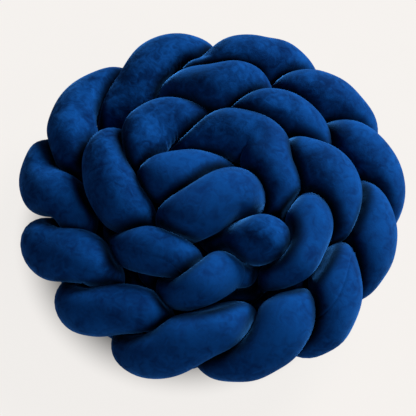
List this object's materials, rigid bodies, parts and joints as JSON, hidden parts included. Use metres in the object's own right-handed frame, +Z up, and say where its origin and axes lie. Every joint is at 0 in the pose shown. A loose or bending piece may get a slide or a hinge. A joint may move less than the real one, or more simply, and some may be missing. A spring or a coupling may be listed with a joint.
{
  "type": "braided crib bumper",
  "caption": "Plump rosette wound from one long plait of stuffed velvet tubes; unwound, it lines the inner sides of a crib.",
  "frame": {"origin": "on the ground under the middle of the rosette's box", "axes": "+Z up, through the flat rosette; +X to the right and +Y away from the camera in the picture"},
  "size_m": [0.6046, 0.5874, 0.215],
  "materials": {
    "velvet": "short-pile polyester velvet in navy blue, brushed in varying directions, over soft fibre filling"
  },
  "bodies": {
    "root": {"strand_a": "velvet", "strand_b": "velvet", "strand_c": "velvet"}
  },
  "joints": []
}
